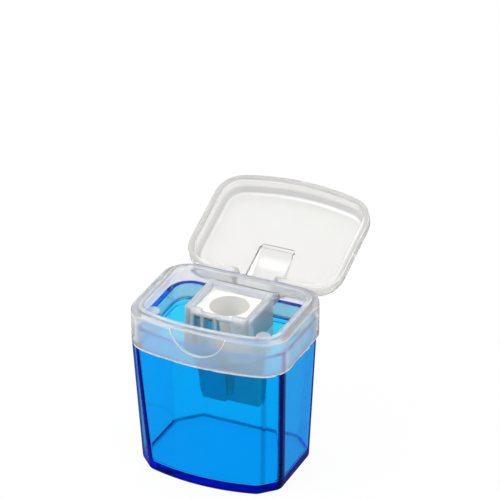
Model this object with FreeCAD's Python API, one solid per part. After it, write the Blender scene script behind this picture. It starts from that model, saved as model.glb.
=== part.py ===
import FreeCAD, Part
import math
import os

# Hand-held canister pencil sharpener: a clear drafted container, a frosted collar with a pocket for the
# sharpener block, and a flip cover on a flexible strap. Millimetres. X is to the right, Y to the back,
# Z up. The origin is on the underside of the container, in the middle. The cover stands open.

# Plan shared by the collar and the cover: straight back and sides, bowed front
WIDTH = 34.0
DEPTH = 26.0
FRONT_BOW = 2.73
CORNER_R = 6.0

# Container
BODY_H = 28.3
FOOT_WIDTH = 30.8
FOOT_DEPTH = 24.3
FOOT_BOW = 3.0
FOOT_FRONT_CUT = 2.3
FOOT_REAR_CUT = 4.9
FOOT_ROUND = 0.9
RIM_WIDTH = 33.0
RIM_DEPTH = 25.0
RIM_BOW = 2.6
RIM_FRONT_CUT = 1.45
RIM_REAR_CUT = 4.05
BODY_EDGE_R = 2.3
BODY_WALL = 1.25
BASE_T = 1.7
CAVITY_ROUND = 1.0
NECK_H = 4.05
NECK_OUT = 1.3
NECK_IN = 2.5
SHOULDER_GAP = 0.12
INNER_STEP_DROP = 0.6

# Collar, with heights above the lower edge of its skirt
SKIRT_WALL = 1.18
SLOPE_LOW = 4.2
SLOPE_TOP = 7.1
SHOULDER_Z = 7.3
SHOULDER_ROUND = 0.35
LIP_OUT = 1.5
LIP_IN = 2.5
LIP_H = 0.65
LIP_ROUND = 0.22
THUMB_R = 6.1
THUMB_Z = 8.6
THUMB_DEPTH = 0.55
TAB_X = 12.0
TAB_Y = -7.4
TAB_R = 1.35
TAB_T = 0.6
NUB_Y = 2.2
NUB_LENGTH = 1.4
NUB_T = 0.34
NUB_DROP = 0.35

# Pocket in the collar
POCKET_HALF = 7.0
POCKET_FRONT = -3.6
POCKET_BACK = 8.4
POCKET_WALL = 1.0
POCKET_LOW = -2.0
POCKET_ROUND = 0.4
NOTCH_HALF = 3.3
NOTCH_DROP = 0.65
WINDOW_TOP = 6.0
WINDOWS = ((-5.3, -3.6), (-3.1, -0.85), (-0.3, 2.9))
BRIDGE_LOW = 4.2
BRIDGE_TOP = 5.8

# Sharpener block
BLOCK_FRONT = -2.5
BLOCK_BACK = 7.3
BLOCK_TOP = 5.9
BLOCK_LOW = -16.5
BLOCK_TAPER_FROM = -2.0
BLOCK_TAPER = 1.4
PLATE_T = 1.0
BORE_Y = 2.6
BORE_R = 4.0
BORE_LENGTH = 3.0
CONE_TIP_R = 0.5
CONE_TIP_Z = -15.0
EXIT_X = -0.9
EXIT_DEPTH = 0.95

# Blade and its screw
BLADE_LENGTH = 19.6
BLADE_WIDTH = 5.6
BLADE_T = 0.5
BLADE_TOP = 4.5
EDGE_X = -0.3
BEVEL_WIDTH = 1.0
BEVEL_DEPTH = 0.4
SCREW_FROM_EDGE = 3.6
BLADE_HOLE_R = 1.15
SCREW_R = 1.0
SCREW_LENGTH = 4.0
SCREW_HEAD_R = 1.8
SCREW_HEAD_H = 0.8
SCREW_HEAD_ROUND = 0.4
SCREW_SLOT_W = 0.5
SCREW_SLOT_DEPTH = 0.4
PILOT_R = 0.85

# Cover, drawn closed and then turned open about the hinge line
COVER_GAP = 0.1
COVER_H = 4.3
COVER_WALL = 1.3
COVER_PLATE = 0.7
COVER_ROUND = 2.9
COVER_FOOT_ROUND = 1.6
HINGE_Y = 13.7
HINGE_Z = 6.55
OPEN_ANGLE = 157.3

# Strap: an arched strip, drawn closed, with a thin web at each end that works as a living hinge
STRAP_HALF = 3.5
STRAP_T = 0.4
STRAP_SIDE_GAP = 0.4
STRAP_END_GAP = 0.03
STRAP_STEPS = 12
TIP_Y = 2.9
TIP_Z = 11.35
ROOT_Z = 4.4
ROOT_PULL = (1.5, 5.0)
TIP_PULL = (5.77, 1.65)
GROOVE_W = 0.75
GROOVE_DEPTH = 0.25

MARGIN = 1.0
TOUCH = 1e-4
CONE_SLOPE = (BORE_R - CONE_TIP_R) / (BLOCK_TOP - BORE_LENGTH - CONE_TIP_Z)
CONE_ANGLE = math.degrees(math.atan(CONE_SLOPE))
UP = FreeCAD.Vector(0, 0, 1)
RIGHT = FreeCAD.Vector(1, 0, 0)


def at(x, y, height):
    """A point given by its height above the skirt's lower edge."""
    return FreeCAD.Vector(x, y, BODY_H + height)


def outline(z, inset):
    """Closed plan outline at height z, drawn parallel to the full outline at the given inset."""
    half = WIDTH / 2
    full_r = (half ** 2 + FRONT_BOW ** 2) / (2 * FRONT_BOW)
    centre_y = full_r - DEPTH / 2
    side = half - inset
    back = DEPTH / 2 - inset
    front_r = full_r - inset
    r = CORNER_R - inset
    cx = side - r
    front_cy = centre_y - math.sqrt((front_r - r) ** 2 - cx ** 2)
    reach = front_r / (front_r - r)
    tangent = (cx * reach, centre_y + (front_cy - centre_y) * reach)
    lean = math.atan2(front_cy - centre_y, cx) / 2
    middle = (cx + r * math.cos(lean), front_cy + r * math.sin(lean))
    diagonal = r * math.sqrt(0.5)

    def p(x, y):
        return FreeCAD.Vector(x, y, z)

    back_cy = back - r
    edges = [
        Part.LineSegment(p(cx, back), p(-cx, back)),
        Part.Arc(p(-cx, back), p(-cx - diagonal, back_cy + diagonal), p(-side, back_cy)),
        Part.LineSegment(p(-side, back_cy), p(-side, front_cy)),
        Part.Arc(p(-side, front_cy), p(-middle[0], middle[1]), p(-tangent[0], tangent[1])),
        Part.Arc(p(-tangent[0], tangent[1]), p(0, centre_y - front_r), p(*tangent)),
        Part.Arc(p(*tangent), p(*middle), p(side, front_cy)),
        Part.LineSegment(p(side, front_cy), p(side, back_cy)),
        Part.Arc(p(side, back_cy), p(cx + diagonal, back_cy + diagonal), p(cx, back)),
    ]
    return Part.Wire([edge.toShape() for edge in edges])


def faceted(z, wall, width, depth, bow, front_cut, rear_cut):
    """Container outline: the bowed plan with a flat face across each corner, between rounded edges."""
    half = width / 2
    full_r = (half ** 2 + bow ** 2) / (2 * bow)
    centre_y = full_r - depth / 2
    r = BODY_EDGE_R - wall
    cx = half - BODY_EDGE_R
    rear_cy = depth / 2 - BODY_EDGE_R
    # The centres of the rounded edges lie on lines parallel to the faces
    step_in = BODY_EDGE_R * math.sqrt(2)
    front_line = half + depth / 2 - bow - front_cut - step_in
    rear_line = half + depth / 2 - rear_cut - step_in
    # The front edge's centre is also on a circle round the centre of the bow
    shift = front_line + centre_y
    reach = full_r - BODY_EDGE_R
    fx = (shift - math.sqrt(2 * reach ** 2 - shift ** 2)) / 2
    fy = fx - front_line
    aim = math.atan2(fx, centre_y - fy)
    centres = (
        (fx, fy, aim, math.pi / 4), (cx, cx - front_line, math.pi / 4, math.pi / 2),
        (cx, rear_line - cx, math.pi / 2, 3 * math.pi / 4), (rear_line - rear_cy, rear_cy, 3 * math.pi / 4, math.pi),
    )

    def p(side, x, y, turn):
        return FreeCAD.Vector(side * (x + r * math.sin(turn)), y - r * math.cos(turn), z)

    edges = []
    joints = []
    for side, run in ((1, centres), (-1, centres[::-1])):
        for x, y, start, end in run:
            first, last = (start, end) if side > 0 else (end, start)
            a, middle, b = (p(side, x, y, t) for t in (first, (start + end) / 2, last))
            edges.append(Part.Arc(a, middle, b))
            joints.append((a, b))
    links = [Part.LineSegment(joints[i][1], joints[i + 1][0]) for i in range(len(joints) - 1)]
    front = Part.Arc(joints[-1][1], FreeCAD.Vector(0, centre_y - full_r + wall, z), joints[0][0])
    order = [edge for pair in zip(edges, links + [front]) for edge in pair]
    return Part.Wire([edge.toShape() for edge in order])


def foot(z, wall=0.0):
    """Container outline at its underside."""
    return faceted(z, wall, FOOT_WIDTH, FOOT_DEPTH, FOOT_BOW, FOOT_FRONT_CUT, FOOT_REAR_CUT)


def rim(z, wall=0.0):
    """Container outline just under the collar."""
    return faceted(z, wall, RIM_WIDTH, RIM_DEPTH, RIM_BOW, RIM_FRONT_CUT, RIM_REAR_CUT)


def prism(inset, low, high):
    """Upright solid on the shared plan, between two heights above the skirt's lower edge."""
    face = Part.Face(outline(BODY_H + low, inset))
    return face.extrude(UP * (high - low))


def block(x0, x1, y0, y1, low, high):
    """Box between two corners, with heights above the skirt's lower edge."""
    return Part.makeBox(x1 - x0, y1 - y0, high - low, at(x0, y0, low))


def level_edges(shape, height):
    """Edges that lie wholly at one height above the skirt's lower edge."""
    z = BODY_H + height
    return [e for e in shape.Edges if abs(e.BoundBox.ZMin - z) < TOUCH and abs(e.BoundBox.ZMax - z) < TOUCH]


def upright_edges(shape):
    """Straight edges that run up and down."""
    return [e for e in shape.Edges if e.BoundBox.XLength < TOUCH and e.BoundBox.YLength < TOUCH]


def container():
    """Drafted shell with flat corner faces, a rounded foot and a thin neck that plugs into the collar."""
    top = -SHOULDER_GAP
    body = Part.makeLoft([foot(0), rim(BODY_H + top)], True, True)
    body = body.makeFillet(FOOT_ROUND, level_edges(body, -BODY_H))
    shell = body.fuse(prism(NECK_OUT, top - MARGIN, NECK_H))
    ceiling = top - INNER_STEP_DROP
    cavity = Part.makeLoft([foot(BASE_T, BODY_WALL), rim(BODY_H + ceiling, BODY_WALL)], True, True)
    cavity = cavity.makeFillet(CAVITY_ROUND, level_edges(cavity, BASE_T - BODY_H))
    mouth = prism(NECK_IN, ceiling - MARGIN, NECK_H + MARGIN)
    return shell.cut(cavity).cut(mouth).removeSplitter()


def collar_ring():
    """Skirt that thickens inwards up to a raised lip, with a shallow thumb recess in the front."""
    ring = prism(0, 0, SHOULDER_Z)
    ring = ring.makeFillet(SHOULDER_ROUND, level_edges(ring, SHOULDER_Z))
    lip_top = SHOULDER_Z + LIP_H
    lip = prism(LIP_OUT, SLOPE_TOP - MARGIN, lip_top)
    lip = lip.makeFillet(LIP_ROUND, level_edges(lip, lip_top))
    ring = ring.fuse(lip)
    ring = ring.cut(prism(LIP_IN, -MARGIN, lip_top + MARGIN))
    ring = ring.cut(prism(SKIRT_WALL, -MARGIN, SLOPE_LOW))
    foot_of_slope = outline(BODY_H + SLOPE_LOW, SKIRT_WALL)
    ring = ring.cut(Part.makeLoft([foot_of_slope, outline(BODY_H + SLOPE_TOP, LIP_IN)], True, True))
    recess_floor = THUMB_DEPTH - DEPTH / 2
    recess = Part.makeCylinder(THUMB_R, DEPTH, at(0, recess_floor - DEPTH, THUMB_Z), FreeCAD.Vector(0, 1, 0))
    return ring.cut(recess)


def pocket():
    """Open box for the sharpener block: notched and slotted in front, bridged to the ring at the back."""
    low = POCKET_LOW
    box = block(-POCKET_HALF, POCKET_HALF, POCKET_FRONT, POCKET_BACK, low, SHOULDER_Z)
    box = box.makeFillet(POCKET_ROUND, upright_edges(box))
    inner_half = POCKET_HALF - POCKET_WALL
    front = POCKET_FRONT + POCKET_WALL
    back = POCKET_BACK - POCKET_WALL
    box = box.cut(block(-inner_half, inner_half, front, back, low - MARGIN, SHOULDER_Z + MARGIN))
    outside = POCKET_FRONT - MARGIN
    notch_low = SHOULDER_Z - NOTCH_DROP
    box = box.cut(block(-NOTCH_HALF, NOTCH_HALF, outside, front, notch_low, SHOULDER_Z + MARGIN))
    for left, right in WINDOWS:
        box = box.cut(block(left, right, outside, front, low - MARGIN, WINDOW_TOP))
    wall_middle = (DEPTH - SKIRT_WALL) / 2
    bridge = block(-POCKET_HALF, POCKET_HALF, back, wall_middle, BRIDGE_LOW, BRIDGE_TOP)
    return box.fuse(bridge.cut(block(-inner_half, inner_half, front, back, low, SHOULDER_Z)))


def corner_tab(side):
    """Small half-moon tongue inside a front corner, level with the shoulder."""
    low = SHOULDER_Z - TAB_T
    disc = Part.makeCylinder(TAB_R, TAB_T, at(side * TAB_X, TAB_Y, low))
    root = block(side * TAB_X - TAB_R, side * TAB_X + TAB_R, TAB_Y - 2 * TAB_R, TAB_Y, low, SHOULDER_Z)
    return disc.fuse(root).common(prism(LIP_IN - POCKET_WALL, low, SHOULDER_Z))


def collar():
    """The whole moulding: ring, pocket, corner tabs and the nub under the right side of the skirt."""
    nub = block(WIDTH / 2 - NUB_T, WIDTH / 2, NUB_Y, NUB_Y + NUB_LENGTH, -NUB_DROP, NUB_DROP)
    shape = collar_ring().fuse([pocket(), corner_tab(-1), corner_tab(1), nub])
    return shape.removeSplitter()


def seat_y(height):
    """Where the blade's seat lies: the plane that touches the front of the cone."""
    return BORE_Y - BORE_R + (BLOCK_TOP - BORE_LENGTH - height) * CONE_SLOPE


def side_prism(points, x0, x1):
    """Solid from a side profile of (y, height) points, from x0 to x1."""
    corners = [at(x0, y, height) for y, height in points]
    wire = Part.makePolygon(corners + corners[:1])
    return Part.Face(wire).extrude(RIGHT * (x1 - x0))


def sharpener_block():
    """Wedge block with a round mouth, a cone, a blade seat and an exit beside the blade."""
    half = POCKET_HALF - POCKET_WALL
    plate_low = BLOCK_TOP - PLATE_T
    profile = [
        (BLOCK_FRONT, BLOCK_TOP), (BLOCK_BACK, BLOCK_TOP), (BLOCK_BACK, BLOCK_TAPER_FROM),
        (BLOCK_BACK - BLOCK_TAPER, BLOCK_LOW), (seat_y(BLOCK_LOW), BLOCK_LOW),
        (seat_y(plate_low), plate_low), (BLOCK_FRONT, plate_low),
    ]
    shape = side_prism(profile, -half, half)
    deep = BLOCK_LOW - MARGIN
    exit_profile = [
        (seat_y(plate_low) + EXIT_DEPTH, plate_low), (seat_y(deep) + EXIT_DEPTH, deep),
        (POCKET_FRONT, deep), (POCKET_FRONT, plate_low),
    ]
    shape = shape.cut(side_prism(exit_profile, EXIT_X, half + MARGIN))
    cone_top = BLOCK_TOP - BORE_LENGTH
    shape = shape.cut(Part.makeCylinder(BORE_R, BORE_LENGTH + MARGIN, at(0, BORE_Y, cone_top)))
    tip = at(0, BORE_Y, CONE_TIP_Z)
    shape = shape.cut(Part.makeCone(CONE_TIP_R, BORE_R, cone_top - CONE_TIP_Z, tip))
    shape = shape.cut(Part.makeCylinder(CONE_TIP_R, -BLOCK_LOW, tip + UP * BLOCK_LOW))
    pilot = Part.makeCylinder(PILOT_R, SCREW_LENGTH + MARGIN, FreeCAD.Vector(screw_x(), 0, -SCREW_LENGTH))
    return shape.cut(seated(pilot))


def screw_x():
    return EDGE_X - SCREW_FROM_EDGE


def seated(shape):
    """Turn a shape drawn flat at the blade's middle, facing up, onto the blade's seat."""
    middle = BLADE_TOP - BLADE_LENGTH / 2 * math.cos(math.radians(CONE_ANGLE))
    placed = shape.copy()
    placed.rotate(FreeCAD.Vector(0, 0, 0), RIGHT, 90 + CONE_ANGLE)
    placed.translate(at(0, seat_y(middle), middle))
    return placed


def blade():
    """Flat steel blade with one bevelled edge and a screw hole."""
    left = EDGE_X - BLADE_WIDTH
    corner = FreeCAD.Vector(left, -BLADE_LENGTH / 2, 0)
    plate = Part.makeBox(BLADE_WIDTH, BLADE_LENGTH, BLADE_T, corner)
    bevel = Part.makePolygon([
        FreeCAD.Vector(EDGE_X - BEVEL_WIDTH, -BLADE_LENGTH, BLADE_T),
        FreeCAD.Vector(EDGE_X, -BLADE_LENGTH, BLADE_T - BEVEL_DEPTH),
        FreeCAD.Vector(EDGE_X + MARGIN, -BLADE_LENGTH, BLADE_T - BEVEL_DEPTH),
        FreeCAD.Vector(EDGE_X + MARGIN, -BLADE_LENGTH, BLADE_T + MARGIN),
        FreeCAD.Vector(EDGE_X - BEVEL_WIDTH, -BLADE_LENGTH, BLADE_T + MARGIN),
        FreeCAD.Vector(EDGE_X - BEVEL_WIDTH, -BLADE_LENGTH, BLADE_T),
    ])
    plate = plate.cut(Part.Face(bevel).extrude(FreeCAD.Vector(0, 2 * BLADE_LENGTH, 0)))
    hole = Part.makeCylinder(BLADE_HOLE_R, 2 * MARGIN, FreeCAD.Vector(screw_x(), 0, -MARGIN))
    return seated(plate.cut(hole))


def blade_screw():
    """Round-headed slotted screw that holds the blade on its seat."""
    x = screw_x()
    head = Part.makeCylinder(SCREW_HEAD_R, SCREW_HEAD_H, FreeCAD.Vector(x, 0, BLADE_T))
    crown = BLADE_T + SCREW_HEAD_H
    crown_edge = [e for e in head.Edges if abs(e.BoundBox.ZMin - crown) < TOUCH]
    head = head.makeFillet(SCREW_HEAD_ROUND, crown_edge)
    shank = Part.makeCylinder(SCREW_R, SCREW_LENGTH + BLADE_T, FreeCAD.Vector(x, 0, -SCREW_LENGTH))
    slot_corner = FreeCAD.Vector(x - 2 * SCREW_HEAD_R, -SCREW_SLOT_W / 2, crown - SCREW_SLOT_DEPTH)
    slot = Part.makeBox(4 * SCREW_HEAD_R, SCREW_SLOT_W, MARGIN, slot_corner)
    return seated(head.fuse(shank).cut(slot).removeSplitter())


def opened(shape):
    """Turn a shape drawn on the closed collar to where the open cover holds it."""
    turned = shape.copy()
    turned.rotate(at(0, HINGE_Y, HINGE_Z), RIGHT, -OPEN_ANGLE)
    return turned


def cover():
    """Tray with a well rounded edge, slotted at the back for the strap, its wall ends rounded."""
    low = SHOULDER_Z + COVER_GAP
    top = low + COVER_H
    face = top - COVER_PLATE
    outside = prism(0, low, top)
    outside = outside.makeFillet(COVER_ROUND, level_edges(outside, top))
    hollow = prism(COVER_WALL, low - MARGIN, face)
    hollow = hollow.makeFillet(COVER_FOOT_ROUND, level_edges(hollow, face))
    tray = outside.cut(hollow)
    slot_half = STRAP_HALF + STRAP_SIDE_GAP
    back = DEPTH / 2 - COVER_WALL
    end_r = COVER_WALL / 2
    end_x = slot_half + end_r
    tray = tray.cut(block(-end_x, end_x, back - COVER_FOOT_ROUND, DEPTH, low - MARGIN, face))
    for x in (-end_x, end_x):
        wall_end = Part.makeCylinder(end_r, COVER_H, at(x, back + end_r, low))
        tray = tray.fuse(wall_end.common(outside))
    slot_front = TIP_Y - STRAP_T / 2 - STRAP_END_GAP
    tray = tray.cut(block(-slot_half, slot_half, slot_front, DEPTH, low - MARGIN, top + MARGIN))
    groove = block(-STRAP_HALF, STRAP_HALF, slot_front - GROOVE_W, slot_front, face, face + GROOVE_DEPTH)
    return opened(tray.cut(groove).removeSplitter())


def turned_back(y, height, degrees):
    """An arm (y, height) turned towards the back, as the opening cover turns."""
    c, s = math.cos(math.radians(degrees)), math.sin(math.radians(degrees))
    return y * c + height * s, height * c - y * s


def strap_root():
    """Place of the strap's lower hinge: equally far from its tip on the closed and on the open cover."""
    y, height = turned_back(TIP_Y - HINGE_Y, TIP_Z - HINGE_Z, OPEN_ANGLE / 2)
    return HINGE_Y + (ROOT_Z - HINGE_Z) * y / height, ROOT_Z


def strap_turn():
    """Degrees that the strap turns about its root while the cover opens."""
    root_y, root_z = strap_root()
    y, height = turned_back(TIP_Y - HINGE_Y, TIP_Z - HINGE_Z, OPEN_ANGLE)
    closed = math.atan2(TIP_Z - root_z, TIP_Y - root_y)
    return math.degrees(closed - math.atan2(HINGE_Z + height - root_z, HINGE_Y + y - root_y))


def strap_line(offset):
    """Points (y, height) along the closed strap at an offset from its middle line, from root to tip."""
    root = strap_root()
    guides = (root, (root[0] + ROOT_PULL[0], root[1] + ROOT_PULL[1]),
              (TIP_Y + TIP_PULL[0], TIP_Z + TIP_PULL[1]), (TIP_Y, TIP_Z))
    points = []
    for i in range(STRAP_STEPS + 1):
        t = i / STRAP_STEPS
        u = 1 - t
        place = (u ** 3, 3 * t * u * u, 3 * t * t * u, t ** 3)
        rate = (-u * u, u * u - 2 * t * u, 2 * t * u - t * t, t * t)
        y, z = (sum(w * g[k] for w, g in zip(place, guides)) for k in (0, 1))
        dy, dz = (sum(w * g[k] for w, g in zip(rate, guides)) for k in (0, 1))
        run = math.hypot(dy, dz)
        points.append((y - offset * dz / run, z + offset * dy / run))
    return points


def hinge_strap():
    """Arched strip between the collar's back and the slot in the cover, round at both ends."""
    r = STRAP_T / 2
    inner, middle, outer = ([at(-STRAP_HALF, *p) for p in strap_line(d)] for d in (r, 0, -r))
    sides = []
    for points in (inner, outer):
        curve = Part.BSplineCurve()
        curve.interpolate(points)
        sides.append(curve.toShape())
    ends = []
    for end, beside in ((0, 1), (-1, -2)):
        away = middle[end] - middle[beside]
        away.normalize()
        ends.append(Part.Arc(inner[end], middle[end] + away * r, outer[end]).toShape())
    wire = Part.Wire(Part.__sortEdges__(sides + ends))
    strip = Part.Face(wire).extrude(RIGHT * (2 * STRAP_HALF))
    strip.rotate(at(0, *strap_root()), RIGHT, -strap_turn())
    return strip


def main():
    os.makedirs("parts", exist_ok=True)
    makers = (container, collar, sharpener_block, blade, blade_screw, cover, hinge_strap)
    for maker in makers:
        shape = maker()
        name = maker.__name__
        shape.exportStep("parts/" + name + ".step")
        box = shape.BoundBox
        print(name, "valid", shape.isValid(), "solids", len(shape.Solids), "volume", round(shape.Volume, 1),
              "box", [round(v, 2) for v in (box.XMin, box.YMin, box.ZMin, box.XMax, box.YMax, box.ZMax)])


main()
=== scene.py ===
# %% [markdown]
# # A canister pencil sharpener
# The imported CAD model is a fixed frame. Every piece made here stands where a CAD solid stands and moves
# with the same body. The pieces are modelled again in Blender because light passes through them: clear and
# frosted plastic needs clean, closed walls with softened edges, and finishes that are worked out from the
# real material.

# %% Load the frame
import math

import bmesh
import bpy
from mathutils import Matrix, Vector


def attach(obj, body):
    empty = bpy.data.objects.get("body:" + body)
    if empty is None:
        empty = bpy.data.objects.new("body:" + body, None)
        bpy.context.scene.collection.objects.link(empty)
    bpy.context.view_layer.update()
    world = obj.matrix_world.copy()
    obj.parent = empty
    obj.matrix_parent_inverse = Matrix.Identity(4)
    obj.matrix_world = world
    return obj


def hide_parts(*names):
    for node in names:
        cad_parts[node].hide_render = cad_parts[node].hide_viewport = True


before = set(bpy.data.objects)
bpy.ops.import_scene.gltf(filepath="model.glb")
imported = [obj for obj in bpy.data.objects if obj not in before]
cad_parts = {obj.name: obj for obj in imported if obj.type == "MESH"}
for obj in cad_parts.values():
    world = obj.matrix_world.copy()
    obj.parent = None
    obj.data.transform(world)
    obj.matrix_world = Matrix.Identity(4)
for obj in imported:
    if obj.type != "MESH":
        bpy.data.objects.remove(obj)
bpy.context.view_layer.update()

# %% [markdown]
# ## Camera
# The photograph was taken from the front right and from above, with a long lens that keeps upright edges
# nearly upright. The camera could be aimed by eye, but the straight edges of the collar fix it: its
# direction, its roll of under half a degree and its distance were solved from them, and are written here as
# angles and lengths.

# %% Camera at the photograph's place
MM = 0.001
CAMERA_AZIMUTH = math.radians(24.96)
CAMERA_ELEVATION = math.radians(29.51)
CAMERA_ROLL = math.radians(-0.42)
CAMERA_DISTANCE = 788.16
CAMERA_AIM = Vector((0.0, 0.0, 48.98))
CAMERA_SLIDE = (5.24, -0.73)
LENS_LENGTH, SENSOR_WIDTH, NEAREST = 289.3, 36.0, 0.01

back = Vector((
    math.sin(CAMERA_AZIMUTH) * math.cos(CAMERA_ELEVATION),
    -math.cos(CAMERA_AZIMUTH) * math.cos(CAMERA_ELEVATION),
    math.sin(CAMERA_ELEVATION),
))
level = Vector((math.cos(CAMERA_AZIMUTH), math.sin(CAMERA_AZIMUTH), 0.0))
upward = back.cross(level)
right = math.cos(CAMERA_ROLL) * level + math.sin(CAMERA_ROLL) * upward
top = math.cos(CAMERA_ROLL) * upward - math.sin(CAMERA_ROLL) * level
eye = CAMERA_AIM + CAMERA_SLIDE[0] * right + CAMERA_SLIDE[1] * top + CAMERA_DISTANCE * back

lens = bpy.data.cameras.new("photo_lens")
lens.lens, lens.sensor_width, lens.clip_start = LENS_LENGTH, SENSOR_WIDTH, NEAREST
camera = bpy.data.objects.new("photo_camera", lens)
bpy.context.scene.collection.objects.link(camera)
facing = Matrix((right, top, back)).transposed().to_4x4()
camera.matrix_world = Matrix.Translation(eye * MM) @ facing
bpy.context.scene.camera = camera
bpy.context.scene.view_settings.view_transform = "Standard"
print("camera at", [round(v, 4) for v in camera.location])

# %% [markdown]
# ## Tools for shaping
# The container, the collar and the cover share one plan: straight back and sides, round corners and a front
# bowed like a shallow arc. Such a plan could be a curve object, but a mesh loop is easier to pull up, step
# in and round. So a circle of points is laid along the plan, and its edges are extruded from level to
# level.

# %% The shared plan
SKIRT_Z = 28.3
WIDTH, DEPTH, FRONT_BOW, CORNER_R = 34.0, 26.0, 2.73, 6.0
BACK_STEPS, CORNER_STEPS, SIDE_STEPS, FRONT_STEPS = 10, 12, 8, 30


def fractions(steps):
    return [i / steps for i in range(steps)]


def straight(a, b, steps):
    return [Vector(a).lerp(Vector(b), t) for t in fractions(steps)]


def arc(centre, radius, start, end, steps):
    angles = [start + (end - start) * t for t in fractions(steps)]
    return [Vector((centre[0] + radius * math.cos(a), centre[1] + radius * math.sin(a))) for a in angles]


def lift(flat, height):
    """Put flat points at a height above the skirt's lower edge, in metres."""
    return [Vector((p.x, p.y, SKIRT_Z + height)) * MM for p in flat]


def plan(height, inset=0.0):
    """Points round the plan at a height above the skirt's lower edge, parallel to the full outline."""
    half = WIDTH / 2
    full_r = (half ** 2 + FRONT_BOW ** 2) / (2 * FRONT_BOW)
    centre_y = full_r - DEPTH / 2
    r = CORNER_R - inset
    side, rear, front_r = half - inset, DEPTH / 2 - inset, full_r - inset
    cx, rear_cy = side - r, rear - r
    sweep = math.asin(cx / (front_r - r))
    front_cy = centre_y - (front_r - r) * math.cos(sweep)
    down = 1.5 * math.pi
    flat = straight((cx, rear), (-cx, rear), BACK_STEPS)
    flat += arc((-cx, rear_cy), r, math.pi / 2, math.pi, CORNER_STEPS)
    flat += straight((-side, rear_cy), (-side, front_cy), SIDE_STEPS)
    flat += arc((-cx, front_cy), r, math.pi, down - sweep, CORNER_STEPS)
    flat += arc((0.0, centre_y), front_r, down - sweep, down + sweep, FRONT_STEPS)
    flat += arc((cx, front_cy), r, down + sweep, 2 * math.pi, CORNER_STEPS)
    flat += straight((side, front_cy), (side, rear_cy), SIDE_STEPS)
    flat += arc((cx, rear_cy), r, 0.0, math.pi / 2, CORNER_STEPS)
    return lift(flat, height)


print("points round the plan:", len(plan(0.0)))

# %% [markdown]
# Below the collar the container's plan is different: a flat face lies across each corner, between two
# rounded edges. It has as many points as the shared plan, so that one loop can be pulled from the walls to
# the neck.

# %% The container's plan
FOOT = dict(width=30.8, depth=24.3, bow=3.0, front_cut=2.3, rear_cut=4.9)
RIM = dict(width=33.0, depth=25.0, bow=2.6, front_cut=1.45, rear_cut=4.05)
EDGE_R, EDGE_STEPS, FACE_STEPS = 2.3, 5, 2


def faceted(height, wall, width, depth, bow, front_cut, rear_cut):
    """Points round the container: bowed, with a flat face across each corner between rounded edges."""
    half = width / 2
    full_r = (half ** 2 + bow ** 2) / (2 * bow)
    centre_y = full_r - depth / 2
    r = EDGE_R - wall
    inset = wall + r
    cx, rear_cy = half - inset, depth / 2 - inset
    front_line = half + depth / 2 - bow - front_cut - inset * math.sqrt(2)
    rear_line = half + depth / 2 - rear_cut - inset * math.sqrt(2)
    shift, reach = front_line + centre_y, full_r - inset
    fx = (shift - math.sqrt(2 * reach ** 2 - shift ** 2)) / 2
    sweep = math.atan2(fx, centre_y - fx + front_line)
    eighth, down = math.pi / 4, 1.5 * math.pi
    # Centre, start angle and end angle of each rounded edge on the left, from the back to the front
    left = (
        ((rear_cy - rear_line, rear_cy), 2 * eighth, 3 * eighth),
        ((-cx, rear_line - cx), 3 * eighth, 4 * eighth),
        ((-cx, cx - front_line), 4 * eighth, 5 * eighth),
        ((-fx, fx - front_line), 5 * eighth, down - sweep),
    )
    edges = list(left)
    edges += [((-c[0], c[1]), 3 * math.pi - b, 3 * math.pi - a) for c, a, b in left[::-1]]
    ends = [[Vector((c[0] + r * math.cos(t), c[1] + r * math.sin(t))) for t in (a, b)] for c, a, b in edges]
    flat = straight(ends[-1][1], ends[0][0], BACK_STEPS)
    links = (FACE_STEPS, SIDE_STEPS, FACE_STEPS, FRONT_STEPS, FACE_STEPS, SIDE_STEPS, FACE_STEPS)
    for i, (c, a, b) in enumerate(edges):
        flat += arc(c, r, a, b, EDGE_STEPS)
        if i == len(left) - 1:
            flat += arc((0.0, centre_y), full_r - wall, down - sweep, down + sweep, links[i])
        elif i < len(links):
            flat += straight(ends[i][1], ends[i + 1][0], links[i])
    return lift(flat, height)


print("points round the container:", len(faceted(0.0, 0.0, **RIM)))

# %% [markdown]
# Each point of a loop carries two numbers in the mesh: its order round the loop and the number of its loop.
# A loop could be found again by its place, but the numbers stay true while the mesh grows, so any loop can
# be rounded later by its number.

# %% Select, edit and mark loops
MERGE = 1e-6


def clear_selection():
    bpy.ops.object.select_all(action="DESELECT")


def pick(obj):
    """Select one piece alone and make it the active one."""
    clear_selection()
    obj.select_set(True)
    bpy.context.view_layer.objects.active = obj


def edit(obj):
    """Open one piece in edit mode with nothing else selected."""
    pick(obj)
    bpy.ops.object.mode_set(mode="EDIT")
    return bmesh.from_edit_mesh(obj.data)


def leave_edit():
    bpy.ops.object.mode_set(mode="OBJECT")


def lay_loop(obj, points, loop):
    """Move the selected loop of points to its places, and mark the loop's number on it."""
    mesh = bmesh.from_edit_mesh(obj.data)
    order, loops = mesh.verts.layers.int["order"], mesh.verts.layers.int["loop"]
    for vertex in mesh.verts:
        if vertex.select:
            vertex.co = points[vertex[order]]
            vertex[loops] = loop
    bmesh.update_edit_mesh(obj.data)


def select_edges(obj, wanted):
    """Select, in edit mode, the edges that a test picks by their place."""
    mesh = bmesh.from_edit_mesh(obj.data)
    bpy.ops.mesh.select_mode(type="EDGE")
    bpy.ops.mesh.select_all(action="DESELECT")
    for edge in mesh.edges:
        if wanted(edge):
            edge.select_set(True)
    bmesh.update_edit_mesh(obj.data)


def select_loop(obj, number):
    layer = bmesh.from_edit_mesh(obj.data).verts.layers.int["loop"]
    select_edges(obj, lambda edge: all(v[layer] == number for v in edge.verts))


print("loops meet within", MERGE, "m")

# %% Pull loops and round them


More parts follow.
